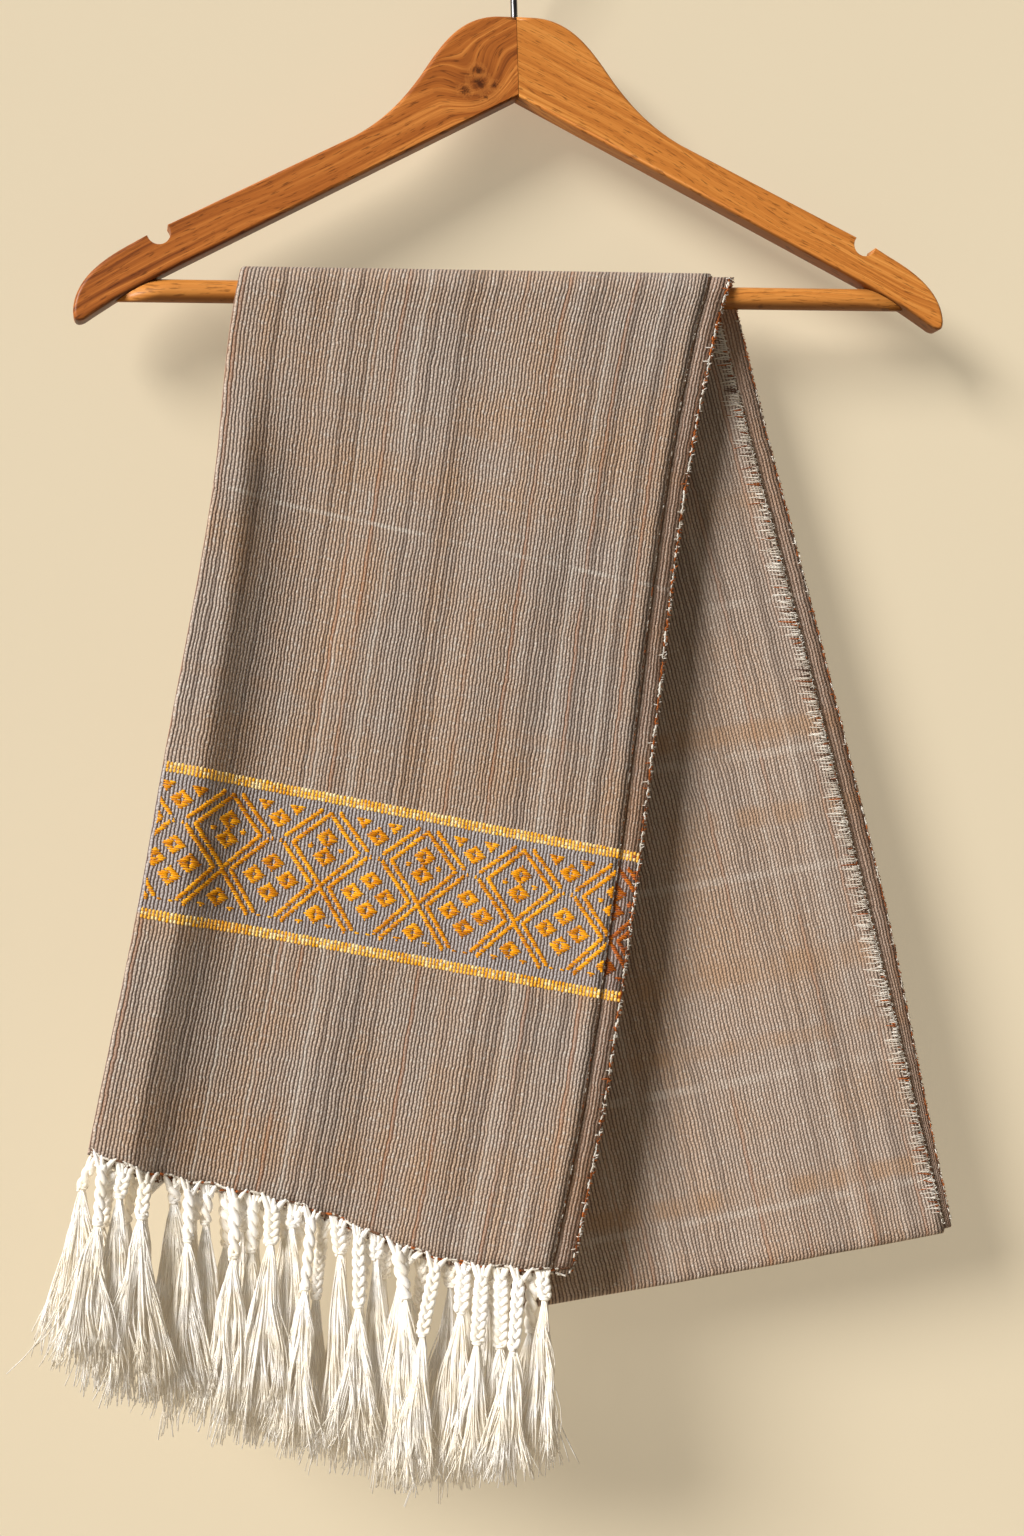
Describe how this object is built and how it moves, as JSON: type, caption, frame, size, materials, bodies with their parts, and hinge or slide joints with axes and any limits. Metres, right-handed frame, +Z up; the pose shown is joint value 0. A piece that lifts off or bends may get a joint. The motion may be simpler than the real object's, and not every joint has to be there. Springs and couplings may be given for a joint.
{
  "type": "stole on a hanger",
  "caption": "Handwoven fringed stole with a brocade band, folded lengthwise and crosswise and hung at a slant over the trouser bar of a wooden hanger with a wire hook.",
  "frame": {"origin": "the bearing point inside the top of the hook, where it sits on a rod", "axes": "+Z up, +X along the hanger to the viewer's right, the front leaf of the stole faces -Y"},
  "size_m": [0.4819, 0.0521, 0.8227],
  "materials": {
    "wood": "clear varnish, satin",
    "steel": "darkened polished wire",
    "cloth": "slubbed plain weave, matte",
    "fringe_yarn": "twisted undyed yarn, soft sheen"
  },
  "bodies": {
    "root": {"hanger_arm_left": "wood", "hanger_arm_right": "wood", "trouser_bar": "wood", "hook": "steel", "bar_turn_outer": "cloth", "bar_turn_inner": "cloth", "front_leaf_outer": "cloth", "front_leaf_inner": "cloth", "back_leaf_outer": "cloth", "back_leaf_inner": "cloth", "bottom_fold": "cloth", "fringe_front": "fringe_yarn", "fringe_second": "fringe_yarn", "fringe_third": "fringe_yarn", "fringe_rear": "fringe_yarn"}
  },
  "joints": []
}
